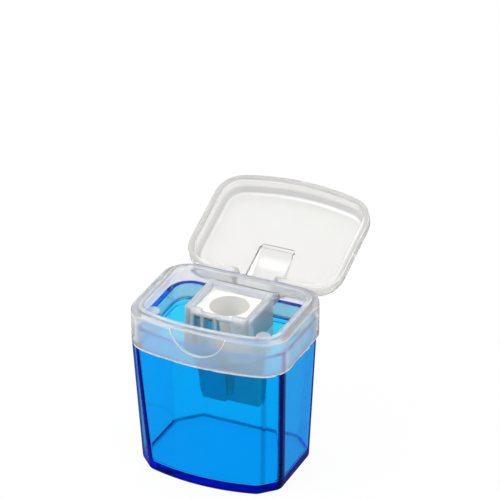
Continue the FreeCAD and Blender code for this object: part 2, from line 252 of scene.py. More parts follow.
def pull_loops(name, loops, ring=False):
    """Extrude a loop of edges through several places. A ring closes on itself, anything else is capped."""
    clear_selection()
    bpy.ops.mesh.primitive_circle_add(vertices=len(loops[0]), radius=WIDTH / 2 * MM)
    obj = bpy.context.object
    obj.name = obj.data.name = name
    mesh = edit(obj)
    bpy.ops.mesh.select_mode(type="EDGE")
    for layer in ("order", "loop"):
        mesh.verts.layers.int.new(layer)
    order = mesh.verts.layers.int["order"]
    for i, vertex in enumerate(mesh.verts):
        vertex[order] = i
    bpy.ops.mesh.select_all(action="SELECT")
    lay_loop(obj, loops[0], 1)
    if not ring:
        bpy.ops.mesh.edge_face_add()
        select_loop(obj, 1)
    for number, points in enumerate(loops[1:] + loops[:1] * ring, 2):
        bpy.ops.mesh.extrude_edges_move()
        lay_loop(obj, points, number)
    if not ring:
        bpy.ops.mesh.edge_face_add()
    bpy.ops.mesh.select_all(action="SELECT")
    bpy.ops.mesh.remove_doubles(threshold=MERGE)
    bpy.ops.mesh.select_all(action="SELECT")
    bpy.ops.mesh.normals_make_consistent(inside=False)
    leave_edit()
    return obj


def bevel_selected(radius, segments):
    bpy.ops.mesh.bevel(offset=radius * MM, segments=segments, affect="EDGES", clamp_overlap=True)
    leave_edit()


def round_loops(obj, *rounds):
    """Round pulled loops, each given by its number from 1, its radius in millimetres and its segments."""
    for number, radius, segments in rounds:
        edit(obj)
        select_loop(obj, number)
        bevel_selected(radius, segments)


def round_edges(obj, radius, segments, wanted):
    """Round the edges that a test picks by their place."""
    edit(obj)
    select_edges(obj, wanted)
    bevel_selected(radius, segments)


print("loops can be pulled and rounded")

# %% Boxes, cylinders and cuts


def box(name, low, high):
    """A cube primitive set to its size and place between two corners, heights above the skirt's edge."""
    a, b = (Vector((p[0], p[1], p[2] + SKIRT_Z)) * MM for p in (low, high))
    clear_selection()
    bpy.ops.mesh.primitive_cube_add(size=1.0, location=(a + b) / 2, scale=b - a)
    bpy.ops.object.transform_apply(location=True, rotation=True, scale=True)
    obj = bpy.context.object
    obj.name = obj.data.name = name
    return obj


def cylinder(radius, length, place, sides, rotation=(0.0, 0.0, 0.0)):
    """A cylinder primitive at its size and place, upright unless it is turned."""
    clear_selection()
    bpy.ops.mesh.primitive_cylinder_add(
        vertices=sides, radius=radius * MM, depth=length * MM,
        location=[v * MM for v in place], rotation=rotation)
    bpy.ops.object.transform_apply(location=True, rotation=True, scale=True)
    return bpy.context.object


def combine(obj, other, operation):
    """Cut another shape away from a piece, or melt it in. The other shape is used up."""
    pick(obj)
    joint = obj.modifiers.new(operation.lower(), "BOOLEAN")
    joint.operation, joint.solver, joint.object = operation, "EXACT", other
    bpy.ops.object.modifier_apply(modifier=joint.name)
    bpy.data.objects.remove(other)
    return obj


print("shapes can be cut and melted together")

# %% [markdown]
# ## Container
# On the real object the container is one moulding in clear blue plastic: walls that lean out from a rounded
# foot, a flat floor, and a thin neck that the collar is pushed over. It could be made as a thin shell with
# Solidify, but the neck and the floor have their own thickness. So one loop runs from the underside up the
# outside, over the neck, and down the inside to the floor, and then the foot, the inner corner and the neck
# are rounded.

# %% Container shell
WALL, FLOOR_T = 1.25, 1.7
NECK_OUT, NECK_IN, NECK_TOP = 1.3, 2.5, 4.05
BODY_TOP, CEILING = -0.12, -0.72
FOOT_ROUND, FLOOR_ROUND, RIM_ROUND, NECK_ROUND = 0.9, 0.9, 0.12, 0.2

container = pull_loops("container_shell", [
    faceted(-SKIRT_Z, 0.0, **FOOT),
    faceted(BODY_TOP, 0.0, **RIM),
    plan(BODY_TOP, NECK_OUT),
    plan(NECK_TOP, NECK_OUT),
    plan(NECK_TOP, NECK_IN),
    plan(CEILING, NECK_IN),
    faceted(CEILING, WALL, **RIM),
    faceted(FLOOR_T - SKIRT_Z, WALL, **FOOT),
])
round_loops(
    container, (1, FOOT_ROUND, 6), (8, FLOOR_ROUND, 6), (2, RIM_ROUND, 2),
    (4, NECK_ROUND, 3), (5, NECK_ROUND, 3))
print("container faces", len(container.data.polygons))

# %% [markdown]
# ## Collar
# The collar is frosted plastic: a thin skirt that thickens inwards above the neck, a small raised lip that
# the cover closes on, and a thumb recess in the front. Its section is a closed shape, so the loop runs
# round it and meets itself. The pocket for the sharpener block is melted in with a Boolean, as the mould
# makes them in one piece.

# %% Collar ring with its thumb recess
SKIRT_WALL, SLOPE_LOW, SLOPE_TOP, SHOULDER = 1.18, 4.2, 7.1, 7.3
LIP_OUT, LIP_IN, LIP_TOP = 1.5, 2.5, 7.95
SHOULDER_ROUND, LIP_ROUND, SKIRT_ROUND = 0.35, 0.22, 0.2
THUMB_R, THUMB_Z, THUMB_FLOOR, THUMB_CUT = 6.1, 8.6, -12.45, 4.0
THUMB_SIDES = 96

collar = pull_loops("collar_moulding", [
    plan(0.0),
    plan(SHOULDER),
    plan(SHOULDER, LIP_OUT),
    plan(LIP_TOP, LIP_OUT),
    plan(LIP_TOP, LIP_IN),
    plan(SLOPE_TOP, LIP_IN),
    plan(SLOPE_LOW, SKIRT_WALL),
    plan(0.0, SKIRT_WALL),
], ring=True)
round_loops(collar, (2, SHOULDER_ROUND, 5), (4, LIP_ROUND, 3), (5, LIP_ROUND, 3), (1, SKIRT_ROUND, 3))
thumb = cylinder(
    THUMB_R, THUMB_CUT, (0.0, THUMB_FLOOR - THUMB_CUT / 2, SKIRT_Z + THUMB_Z),
    THUMB_SIDES, (math.pi / 2, 0.0, 0.0))
combine(collar, thumb, "DIFFERENCE")
print("collar ring faces", len(collar.data.polygons))

# %% [markdown]
# The pocket is a square tube that hangs from the back of the ring. The front wall has a low notch and three
# slots through which the blade and the open side of the cone show. A cube becomes the tube by insetting its
# two ends and bridging them. The slots could be faces pulled inwards, but a Boolean keeps their corners
# crisp.

# %% Pocket for the sharpener block
POCKET_HALF, POCKET_FRONT, POCKET_REAR = 7.0, -3.6, 8.4
POCKET_WALL, POCKET_LOW, POCKET_ROUND = 1.0, -2.0, 0.4
NOTCH_HALF, NOTCH_LOW = 3.3, 6.65
SLOT_TOP = 6.0
SLOTS = ((-5.3, -3.6), (-3.1, -0.85), (-0.3, 2.9))
SOFT_EDGE, SOFT_ANGLE = 0.14, math.radians(50)
PAST, JUST_PAST = 1.0, 0.2


def is_outer_corner(edge):
    """An upright edge at one of the pocket's outer corners."""
    a, b = (v.co for v in edge.verts)
    return (a.xy - b.xy).length < MERGE and abs(a.x) > (POCKET_HALF - POCKET_WALL / 2) * MM


pocket = box("pocket", (-POCKET_HALF, POCKET_FRONT, POCKET_LOW), (POCKET_HALF, POCKET_REAR, SHOULDER))
mesh = edit(pocket)
bpy.ops.mesh.select_mode(type="FACE")
bpy.ops.mesh.select_all(action="DESELECT")
for face in mesh.faces:
    looks_up_or_down = abs(face.normal.z) > 0.5
    face.select_set(looks_up_or_down)
bmesh.update_edit_mesh(pocket.data)
bpy.ops.mesh.inset(thickness=POCKET_WALL * MM)
bpy.ops.mesh.bridge_edge_loops()
leave_edit()
round_edges(pocket, POCKET_ROUND, 4, is_outer_corner)
front_out, front_in = POCKET_FRONT - PAST, POCKET_FRONT + POCKET_WALL + JUST_PAST
notch = box("notch", (-NOTCH_HALF, front_out, NOTCH_LOW), (NOTCH_HALF, front_in, SHOULDER + PAST))
combine(pocket, notch, "DIFFERENCE")
for slot_left, slot_right in SLOTS:
    slot = box("slot", (slot_left, front_out, POCKET_LOW - PAST), (slot_right, front_in, SLOT_TOP))
    combine(pocket, slot, "DIFFERENCE")
soft = pocket.modifiers.new("soft edges", "BEVEL")
soft.width, soft.segments, soft.limit_method, soft.angle_limit = SOFT_EDGE * MM, 2, "ANGLE", SOFT_ANGLE
pick(pocket)
bpy.ops.object.modifier_apply(modifier=soft.name)
print("pocket faces", len(pocket.data.polygons))

# %% Melt the pocket, its bridge, the corner tabs and the nub into the collar
BRIDGE_LOW, BRIDGE_TOP, BRIDGE_ROOT, BRIDGE_CLEAR = 4.25, 5.8, 0.5, 0.05
TAB_X, TAB_Y, TAB_R, TAB_T, TAB_ROOT, TAB_CLEAR, TAB_SIDES = 12.0, -7.4, 1.35, 0.6, 1.9, 0.01, 40
NUB_IN, NUB_OUT, NUB_Y, NUB_LENGTH, NUB_DROP = 0.34, 0.02, 2.2, 1.4, 0.35

combine(collar, pocket, "UNION")
bridge_half = POCKET_HALF - BRIDGE_CLEAR
bridge = box(
    "bridge", (-bridge_half, POCKET_REAR - BRIDGE_ROOT, BRIDGE_LOW),
    (bridge_half, (DEPTH - SKIRT_WALL) / 2, BRIDGE_TOP))
combine(collar, bridge, "UNION")
for side in (-1, 1):
    tab = cylinder(TAB_R, TAB_T, (side * TAB_X, TAB_Y, SKIRT_Z + SHOULDER - TAB_T / 2), TAB_SIDES)
    tab_root = box(
        "tab_root", (side * TAB_X - TAB_R, TAB_Y - TAB_ROOT, SHOULDER - TAB_T + TAB_CLEAR),
        (side * TAB_X + TAB_R, TAB_Y, SHOULDER - TAB_CLEAR))
    combine(tab, tab_root, "UNION")
    combine(collar, tab, "UNION")
nub = box(
    "nub", (WIDTH / 2 - NUB_IN, NUB_Y, -NUB_DROP), (WIDTH / 2 - NUB_OUT, NUB_Y + NUB_LENGTH, NUB_DROP))
combine(collar, nub, "UNION")
print("collar faces", len(collar.data.polygons))

# %% [markdown]
# ## Cover
# The flip cover is a tray with a well rounded outer edge. The strap lies in a slot at its back, so the wall
# is parted there, and a groove beside the slot's front end lets the strap's web bend. The tray could be
# drawn open at once, but when it is closed its plan is the collar's own. So it is drawn closed and then
# turned open about the hinge line.

# %% Cover, drawn closed
COVER_LOW, COVER_TOP, COVER_FACE = 7.4, 11.7, 11.0
COVER_WALL, COVER_ROUND, COVE, COVER_EDGE = 1.3, 2.9, 1.6, 0.2
ROUND_SEGMENTS, COVE_SEGMENTS, WALL_END_SIDES = 12, 8, 32

cover = pull_loops("flip_cover", [
    plan(COVER_FACE, COVER_WALL),
    plan(COVER_LOW, COVER_WALL),
    plan(COVER_LOW),
    plan(COVER_TOP),
])
round_loops(
    cover, (4, COVER_ROUND, ROUND_SEGMENTS), (1, COVE, COVE_SEGMENTS), (2, COVER_EDGE, 3), (3, COVER_EDGE, 3))
print("tray faces", len(cover.data.polygons))

# %% Slot for the strap, with rounded wall ends and a groove
STRAP_HALF, STRAP_T, SLOT_HALF, SLOT_CLEAR = 3.5, 0.4, 3.9, 0.03
TIP_Y, TIP_HEIGHT = 2.9, 11.35
SLOT_FRONT = TIP_Y - STRAP_T / 2 - SLOT_CLEAR
GROOVE_W, GROOVE_DEPTH = 0.75, 0.25

wall_in = DEPTH / 2 - COVER_WALL
end_r = COVER_WALL / 2
end_x = SLOT_HALF + end_r
gap = box("gap", (-end_x, wall_in - COVE, COVER_LOW - PAST), (end_x, DEPTH, COVER_FACE))
combine(cover, gap, "DIFFERENCE")
for x in (-end_x, end_x):
    wall_end = cylinder(
        end_r, COVER_TOP - COVER_LOW,
        (x, wall_in + end_r, SKIRT_Z + (COVER_TOP + COVER_LOW) / 2), WALL_END_SIDES)
    outside = pull_loops("outside", [plan(COVER_LOW), plan(COVER_TOP)])
    round_loops(outside, (2, COVER_ROUND, ROUND_SEGMENTS))
    combine(wall_end, outside, "INTERSECT")
    combine(cover, wall_end, "UNION")
strap_slot = box("slot", (-SLOT_HALF, SLOT_FRONT, COVER_LOW - PAST), (SLOT_HALF, DEPTH, COVER_TOP + PAST))
combine(cover, strap_slot, "DIFFERENCE")
groove = box(
    "groove", (-STRAP_HALF, SLOT_FRONT - GROOVE_W, COVER_FACE - PAST),
    (STRAP_HALF, SLOT_FRONT + PAST, COVER_FACE + GROOVE_DEPTH))
combine(cover, groove, "DIFFERENCE")
print("cover faces", len(cover.data.polygons))

# %% Turn the cover open
HINGE = Vector((0.0, 13.7, SKIRT_Z + 6.55)) * MM
OPEN_ANGLE = math.radians(157.3)


def turned_about(point, angle):
    """A turn towards the back about a level line through a point."""
    return Matrix.Translation(point) @ Matrix.Rotation(-angle, 4, "X") @ Matrix.Translation(-point)


def put(obj, matrix):
    """Move a piece by a matrix and keep its own origin and axes at the frame's."""
    obj.matrix_world = matrix
    pick(obj)
    bpy.ops.object.transform_apply(location=True, rotation=True, scale=True)


opened = turned_about(HINGE, OPEN_ANGLE)
put(cover, opened)
print("cover reaches back to", round(max(v.co.y for v in cover.data.vertices) / MM, 2), "mm")

# %% [markdown]
# ## Hinge strap
# The strap is an arched strip with a thin web at each end: a living hinge, with no pin. A curve with a flat
# bevel could make it. Here a four-sided loop is pulled along the arch, so that the strip has true thickness
# and round ends. Its root is equally far from its tip on the closed cover and on the open cover, which
# fixes where it joins the collar.

# %% The strap's arch
ROOT_HEIGHT = 4.4
ROOT_PULL, TIP_PULL = (1.5, 5.0), (5.77, 1.65)
closed_tip = Vector((0.0, TIP_Y, SKIRT_Z + TIP_HEIGHT)) * MM
half_way = Matrix.Rotation(-OPEN_ANGLE / 2, 3, "X") @ (closed_tip - HINGE)
strap_root = HINGE + half_way * (((SKIRT_Z + ROOT_HEIGHT) * MM - HINGE.z) / half_way.z)
STRAP_TURN = (closed_tip - strap_root).angle(opened @ closed_tip - strap_root)
guides = [
    strap_root, strap_root + Vector((0.0, *ROOT_PULL)) * MM,
    closed_tip + Vector((0.0, *TIP_PULL)) * MM, closed_tip,
]


def arch(t):
    weights = ((1 - t) ** 3, 3 * t * (1 - t) ** 2, 3 * t * t * (1 - t), t ** 3)
    return sum((w * p for w, p in zip(weights, guides)), Vector())


print("strap turned", round(math.degrees(STRAP_TURN), 2), "degrees from closed")

# %% Strap pulled along its arch
STRAP_STEPS, END_STEPS, END_ANGLE = 20, 4, math.radians(80)
TANGENT_STEP = 1e-3


def strap_section(t, beyond=0.0):
    """Four corners of the strap's section, square to the arch. Beyond an end it narrows to a round."""
    along = (arch(min(t + TANGENT_STEP, 1)) - arch(max(t - TANGENT_STEP, 0))).normalized()
    thick = STRAP_T / 2 * math.sqrt(1 - beyond ** 2)
    out = Vector((1.0, 0.0, 0.0)).cross(along) * thick * MM
    wide = Vector((STRAP_HALF * MM, 0.0, 0.0))
    middle = arch(t) + along * beyond * STRAP_T / 2 * MM
    return [middle + wide + out, middle - wide + out, middle - wide - out, middle + wide - out]


ends = [math.sin(END_ANGLE * i / END_STEPS) for i in range(END_STEPS, 0, -1)]
sections = [strap_section(0, -e) for e in ends]
sections += [strap_section(i / STRAP_STEPS) for i in range(STRAP_STEPS + 1)]
sections += [strap_section(1, e) for e in ends[::-1]]
strap = pull_loops("hinge_strip", sections)
put(strap, turned_about(strap_root, STRAP_TURN))
print("strap faces", len(strap.data.polygons))

# %% [markdown]
# ## Sharpener block
# The block is cream plastic: a flat plate with a round mouth on top, and below it a wedge with a cone
# inside. One side of the cone is open, and the blade lies on that slope. The wedge is a side profile pulled
# across. The mouth and the cone are one turned shape that is cut away, as the core pin of the mould leaves
# them.

# %% Wedge and the exit beside the blade
BLOCK_HALF, BLOCK_FRONT, BLOCK_REAR = 6.0, -2.5, 7.3
BLOCK_TOP, BLOCK_LOW, TAPER_FROM, TAPER = 5.9, -16.5, -2.0, 1.4
PLATE_LOW = BLOCK_TOP - 1.0
BLOCK_ROUND, SHARP_ANGLE = 0.18, math.radians(40)
BORE_Y, BORE_R, CONE_TOP = 2.6, 4.0, 2.9
CONE_TIP_R, CONE_TIP_Z = 0.5, -15.0
EXIT_X, EXIT_DEPTH, EXIT_FRONT = -0.9, 0.95, -5.0
SLOPE = (BORE_R - CONE_TIP_R) / (CONE_TOP - CONE_TIP_Z)


def seat_y(height):
    """Where the blade's seat lies: the plane that touches the front of the cone."""
    return BORE_Y - BORE_R + (CONE_TOP - height) * SLOPE


def across(name, profile, x0, x1):
    """A side profile of (y, height) points, pulled from one side to the other."""
    return pull_loops(name, [[Vector((x, y, SKIRT_Z + z)) * MM for y, z in profile] for x in (x0, x1)])


block = across("sharpener_wedge", [
    (BLOCK_FRONT, BLOCK_TOP), (BLOCK_REAR, BLOCK_TOP),
    (BLOCK_REAR, TAPER_FROM), (BLOCK_REAR - TAPER, BLOCK_LOW),
    (seat_y(BLOCK_LOW), BLOCK_LOW), (seat_y(PLATE_LOW), PLATE_LOW), (BLOCK_FRONT, PLATE_LOW),
], -BLOCK_HALF, BLOCK_HALF)
round_edges(block, BLOCK_ROUND, 3, lambda e: e.calc_face_angle(0.0) > SHARP_ANGLE)
deep = BLOCK_LOW - PAST
exit_cut = across("exit", [
    (seat_y(PLATE_LOW) + EXIT_DEPTH, PLATE_LOW), (seat_y(deep) + EXIT_DEPTH, deep),
    (EXIT_FRONT, deep), (EXIT_FRONT, PLATE_LOW),
], EXIT_X, BLOCK_HALF + PAST)
combine(block, exit_cut, "DIFFERENCE")
print("wedge faces", len(block.data.polygons))

# %% Round mouth and cone
MOUTH_ROUND, MOUTH_STEPS, MOUTH_PAST, BORE_SIDES = 0.3, 4, 0.5, 72

steps = [(BORE_R + MOUTH_ROUND, BLOCK_TOP + MOUTH_PAST)]
for i in range(MOUTH_STEPS + 1):
    a = math.radians(90 * i / MOUTH_STEPS)
    steps.append((BORE_R + MOUTH_ROUND * (1 - math.sin(a)), BLOCK_TOP - MOUTH_ROUND * (1 - math.cos(a))))
steps += [(BORE_R, CONE_TOP), (CONE_TIP_R, CONE_TIP_Z), (CONE_TIP_R, deep)]
core = pull_loops("core", [lift(arc((0.0, BORE_Y), r, 0.0, 2 * math.pi, BORE_SIDES), z) for r, z in steps])
combine(block, core, "DIFFERENCE")
print("block faces", len(block.data.polygons))

# %% [markdown]
# ## Blade and screw
# The blade is a short strip of ground steel with one bevelled edge, and a slotted screw holds it on its
# seat. Both could be drawn on the slope at once, but their sizes are easier to read when they lie flat on a
# bench. So they are drawn flat and then turned onto the seat.

# %% Blade on the seat
BLADE_LENGTH, BLADE_WIDTH, BLADE_T, BLADE_TOP = 19.6, 5.6, 0.5, 4.5
EDGE_X, BEVEL_WIDTH, BEVEL_DEPTH = -0.3, 1.0, 0.4
HOLE_X, HOLE_R, HOLE_CUT, HOLE_SIDES = -3.9, 1.15, 4.0, 48
seat_angle = math.atan(SLOPE)
seat_middle = BLADE_TOP - BLADE_LENGTH / 2 * math.cos(seat_angle)
on_seat = Matrix.Translation(Vector((0.0, seat_y(seat_middle), SKIRT_Z + seat_middle)) * MM)
on_seat = on_seat @ Matrix.Rotation(math.pi / 2 + seat_angle, 4, "X")

section = [
    (EDGE_X - BLADE_WIDTH, 0.0), (EDGE_X, 0.0), (EDGE_X, BLADE_T - BEVEL_DEPTH),
    (EDGE_X - BEVEL_WIDTH, BLADE_T), (EDGE_X - BLADE_WIDTH, BLADE_T),
]
blade_ends = (-BLADE_LENGTH / 2, BLADE_LENGTH / 2)
blade = pull_loops("ground_blade", [[Vector((x, y, z)) * MM for x, z in section] for y in blade_ends])
combine(blade, cylinder(HOLE_R, HOLE_CUT, (HOLE_X, 0.0, 0.0), HOLE_SIDES), "DIFFERENCE")
put(blade, on_seat)
print("blade faces", len(blade.data.polygons))

# %% Screw through the blade
HEAD_R, HEAD_H, HEAD_ROUND, SHANK_R, SHANK_LENGTH = 1.8, 0.8, 0.4, 1.0, 4.0
DRIVE_W, DRIVE_DEPTH, DRIVE_HALF, SCREW_SIDES = 0.5, 0.4, 4.0, 48
HEAD_TOP = BLADE_T + HEAD_H

turned = []
for radius, height in ((SHANK_R, -SHANK_LENGTH), (SHANK_R, BLADE_T), (HEAD_R, BLADE_T), (HEAD_R, HEAD_TOP)):
    ring = arc((HOLE_X, 0.0), radius, 0.0, 2 * math.pi, SCREW_SIDES)
    turned.append([Vector((p.x, p.y, height)) * MM for p in ring])
screw = pull_loops("slotted_screw", turned)
round_loops(screw, (4, HEAD_ROUND, 5))
drive = box(
    "drive", (HOLE_X - DRIVE_HALF, -DRIVE_W / 2, HEAD_TOP - DRIVE_DEPTH - SKIRT_Z),
    (HOLE_X + DRIVE_HALF, DRIVE_W / 2, HEAD_TOP + PAST - SKIRT_Z))
combine(screw, drive, "DIFFERENCE")
put(screw, on_seat)
print("screw faces", len(screw.data.polygons))

# %% [markdown]
# ## Finishes
# The finishes are worked out in shader nodes on Object coordinates, so a pattern stays on its piece when it
# moves. Shader maths could be wired by hand, node by node, but sums are easier to read. So one small class
# stands for a socket, and an expression on it adds the Math nodes.

# %% A socket that can be used in sums


class Value:
    """An output of a shader node."""

    def __init__(self, finish, socket):
        self.finish, self.socket = finish, socket

    def __add__(self, other):
        return self.finish.maths("ADD", self, other)

    def __sub__(self, other):
        return self.finish.maths("SUBTRACT", self, other)

    def __rsub__(self, other):
        return self.finish.maths("SUBTRACT", other, self)

    def __mul__(self, other):
        return self.finish.maths("MULTIPLY", self, other)

    __radd__ = __add__
    __rmul__ = __mul__

    def absolute(self):
        return self.finish.maths("ABSOLUTE", self)

    def root(self):
        return self.finish.maths("SQRT", self)


print("sums of sockets ready")

# %% A material or world built from nodes
NOISE_ROUGHNESS = 0.55
EVEN = (1.0, 1.0, 1.0)


class Finish:
    """A new material or world whose nodes are added one at a time."""

    def __init__(self, owner):
        self.owner = owner
        owner.use_nodes = True
        self.tree = owner.node_tree
        self.tree.nodes.clear()

    def node(self, kind, settings=None, inputs=None, output=0):
        """Add a node of a type, with its settings and the values or links of its sockets."""
        made = self.tree.nodes.new(kind)
        for key, value in (settings or {}).items():
            setattr(made, key, value)
        for key, value in (inputs or {}).items():
            if isinstance(value, Value):
                self.tree.links.new(value.socket, made.inputs[key])
            else:
                made.inputs[key].default_value = value
        return Value(self, made.outputs[output]) if made.outputs else None

    def maths(self, operation, *values):
        return self.node("ShaderNodeMath", {"operation": operation}, dict(enumerate(values)))

    def axes(self):
        """The three Object coordinates in millimetres."""
        spot = self.node("ShaderNodeTexCoord", output="Object")
        split = self.node("ShaderNodeSeparateXYZ", {}, {"Vector": spot})
        return [Value(self, socket) * (1 / MM) for socket in split.socket.node.outputs]

    def noise(self, size, detail=3.0, stretch=EVEN):
        """Noise from 0 to 1 with features of about a size in millimetres."""
        spot = self.node("ShaderNodeTexCoord", output="Object")
        place = self.node("ShaderNodeMapping", {}, {"Vector": spot, "Scale": stretch})
        return self.node("ShaderNodeTexNoise", {}, {
            "Vector": place, "Scale": 1 / (size * MM), "Detail": detail, "Roughness": NOISE_ROUGHNESS})

    def blend(self, factor, a, b):
        """A colour between two, which are numbers or come from nodes."""
        a, b = (c if isinstance(c, Value) else (*c, 1.0) for c in (a, b))
        return self.node("ShaderNodeMix", {"data_type": "RGBA"}, {"Factor": factor, 6: a, 7: b}, output=2)

    def largest(self, first, *others):
        for other in others:
            first = self.maths("MAXIMUM", first, other)
        return first

    def rise(self, value, low, high):
        """0 up to a low limit and 1 from a high one."""
        return self.node("ShaderNodeMapRange", {"clamp": True}, {
            "Value": value, "From Min": low, "From Max": high})

    def fall(self, value, low, high):
        """1 up to a low limit and 0 from a high one."""
        return 1 - self.rise(value, low, high)

    def band(self, value, low, full, dim, high):
        """1 between two limits, with a soft start and a soft end."""
        return self.rise(value, low, full) * self.fall(value, dim, high)

    def bump(self, height, depth):
        """A normal from a height from 0 to 1, with the depth in millimetres."""
        return self.node("ShaderNodeBump", {}, {"Height": height, "Distance": depth * MM})

    def close(self, shader, volume=None, kind="ShaderNodeOutputMaterial"):
        """Lead a shader, and a volume if there is one, to the output."""
        inputs = {"Surface": shader, "Volume": volume} if volume else {"Surface": shader}
        self.node(kind, {}, inputs)
        print("finish", self.owner.name, "nodes", len(self.tree.nodes))
        return self.owner


def new_material(name):
    return Finish(bpy.data.materials.new(name))


print("finishes can be built")

# %% [markdown]
# ### Clear blue plastic
# The container is tinted through. Where a wall is seen edge on, light travels further in it and the blue
# goes deep. A blue surface alone would miss that, so the depth of colour comes from absorption in the
# volume. The upright front edges, the foot and the neck's rim bend light away and look nearly black, so a
# painted shade of deep navy lies along them. The surface is polished by the mould, with faint ripples and
# some hairline scuffs.

# %% Painted shade along the container's edges
WALL_TINT, CLOUD_TINT, CLOUD_SIZE = (0.12, 0.82, 1.0), (0.10, 0.78, 1.0), 6.0
# The last colour here is a painted shade: deep navy laid along the edges, the foot and the neck's rim.
NECK_TINT, EDGE_PAINTED_SHADE = (0.97, 0.99, 1.0), (0.002, 0.003, 0.05)
NECK_STARTS = (SKIRT_Z - 0.1, SKIRT_Z + 0.2)
# Where an upright edge is at the foot and at the rim, and the distances between which its painted shade fades
SIDE_EDGE = ((15.4, -6.2), (16.5, -7.8), 0.8, 1.3)
FRONT_EDGE = ((12.6, -9.6), (13.7, -11.0), 0.2, 0.7)
FOOT_BAND, NECK_BAND = (0.02, 0.15, 0.9, 1.5), (0.01, 0.05, 0.16, 0.28)
FRONT_SHARE, FOOT_SHARE, NECK_SHARE = 0.5, 0.85, 0.35

blue = new_material("clear_blue_plastic")
x, y, z = blue.axes()


def painted_shade_along_edge(foot, rim, near, far):
    """1 along an upright edge of the container and its mirror image, where the painted shade lies, fading out
    between two distances.
    """
    from_x = x.absolute() - foot[0] - z * ((rim[0] - foot[0]) / SKIRT_Z)
    from_y = y - foot[1] - z * ((rim[1] - foot[1]) / SKIRT_Z)
    return blue.fall(from_x * from_x + from_y * from_y, near ** 2, far ** 2)


foot_painted_shade = blue.band(z, *FOOT_BAND)
neck_painted_shade = blue.band(SKIRT_Z + NECK_TOP - z, *NECK_BAND)
# Mask of the painted shade: edges that bent light makes look nearly black are painted dark in the colour.
edges = blue.largest(
    painted_shade_along_edge(*SIDE_EDGE), painted_shade_along_edge(*FRONT_EDGE) * FRONT_SHARE,
    foot_painted_shade * FOOT_SHARE, neck_painted_shade * NECK_SHARE)
tint_and_painted_shade = blue.blend(blue.noise(CLOUD_SIZE), WALL_TINT, CLOUD_TINT)
tint_and_painted_shade = blue.blend(blue.rise(z, *NECK_STARTS), tint_and_painted_shade, NECK_TINT)
tint_and_painted_shade = blue.blend(edges, tint_and_painted_shade, EDGE_PAINTED_SHADE)
print("tint nodes", len(blue.tree.nodes))

# %% Clear blue
DEPTH_COLOUR, DEPTH_DENSITY = (0.06, 0.77, 0.978, 1.0), 850.0
SHEEN, POLISH, SCUFF_ROUGH = (0.08, 0.4, 1.0, 1.0), 0.03, 0.07
SCUFF_SIZE, SCUFF_DETAIL, SCUFF_STRETCH, SCUFFED = 0.35, 4.0, (1.0, 1.0, 0.12), (0.62, 0.78)
RIPPLE_SIZE, RIPPLE_DETAIL, RIPPLE_STRETCH, RIPPLE_DEPTH = 3.5, 2.0, (1.0, 1.0, 0.5), 0.02

scuffs = blue.rise(blue.noise(SCUFF_SIZE, SCUFF_DETAIL, SCUFF_STRETCH), *SCUFFED)
ripple = blue.noise(RIPPLE_SIZE, RIPPLE_DETAIL, RIPPLE_STRETCH)
blue_surface = blue.node("ShaderNodeBsdfPrincipled", {}, {
    "Base Color": tint_and_painted_shade,
    "Roughness": POLISH + scuffs * SCUFF_ROUGH,
    "Normal": blue.bump(ripple, RIPPLE_DEPTH),
    "IOR": 1.52,
    "Specular Tint": SHEEN,
    "Transmission Weight": 1.0,
})
blue_depth = blue.node("ShaderNodeVolumeAbsorption", {}, {"Color": DEPTH_COLOUR, "Density": DEPTH_DENSITY})
clear_blue = blue.close(blue_surface, blue_depth)

# %% [markdown]
# ### Frosted plastic
# Natural polypropylene lets light through but scatters it, so things behind it blur with distance.
# Transparency alone would look like glass and a white surface like paint, so most of the light passes
# through a slightly rough surface and the rest scatters inside. The colour clouds a little where the
# plastic flowed. Painted highlights whiten it along some edges: there it turns opaque white and less of
# the light passes straight through.

# %% Frosted plastic, with painted highlights along some lines
FLOW_SIZE, FLOW_DEPTH, GRAIN_SIZE, GRAIN_DETAIL = 4.0, 0.01, 0.18, 2.0
GRAIN_ROUGH, FLOW_ROUGH = 0.08, 0.06
SHADE_GREY = (0.45, 0.46, 0.47)
SCATTER = {"IOR": 1.49, "Subsurface Weight": 1.0, "Subsurface Radius": EVEN, "Subsurface Scale": 2.0 * MM}


def frosted(finish, light, cloud, haze, clear, painted_highlights, shade=None):
    """Milky plastic with painted highlights that whiten it along the given lines, and greyed by the given
    painted shade.
    """
    flow = finish.noise(FLOW_SIZE)
    grain = finish.noise(GRAIN_SIZE, GRAIN_DETAIL)
    colour = finish.blend(flow, light, cloud)
    if shade:
        colour = finish.blend(shade, colour, SHADE_GREY)
    rough = haze + grain * GRAIN_ROUGH + flow * FLOW_ROUGH
    body = {"Base Color": colour, "Roughness": rough, "Normal": finish.bump(flow, FLOW_DEPTH), **SCATTER}
    # The opaque white shader is mixed in as a painted highlight where the given lines are.
    milky = finish.node("ShaderNodeBsdfPrincipled", {}, {**body, "Transmission Weight": clear})
    highlight_white = finish.node("ShaderNodeBsdfPrincipled", {}, body)
    return finish.close(finish.node("ShaderNodeMixShader", {}, {0: painted_highlights, 1: milky, 2: highlight_white}))


print("frosted plastic ready")

# %% Frosted collar
COLLAR_LIGHT, COLLAR_CLOUD = (0.975, 0.978, 0.98), (0.94, 0.947, 0.955)
COLLAR_HAZE, COLLAR_CLEAR = 0.065, 0.84
SKIRT_FADE = (SKIRT_Z + 0.1, SKIRT_Z + 0.45)
LIP_FADE = (SKIRT_Z + LIP_TOP - 0.25, SKIRT_Z + LIP_TOP - 0.05)
RECESS_FADE, SOFT_FADE = (0.02, 0.12), 0.2
# Painted highlights whiten the skirt's lower edge, the thumb recess's edge and the lip's top, and painted
# light brightens the pocket's walls.
SKIRT_HIGHLIGHT, RECESS_HIGHLIGHT, LIP_HIGHLIGHT, POCKET_PAINTED_LIGHT = 0.7, 0.4, 0.15, 0.28

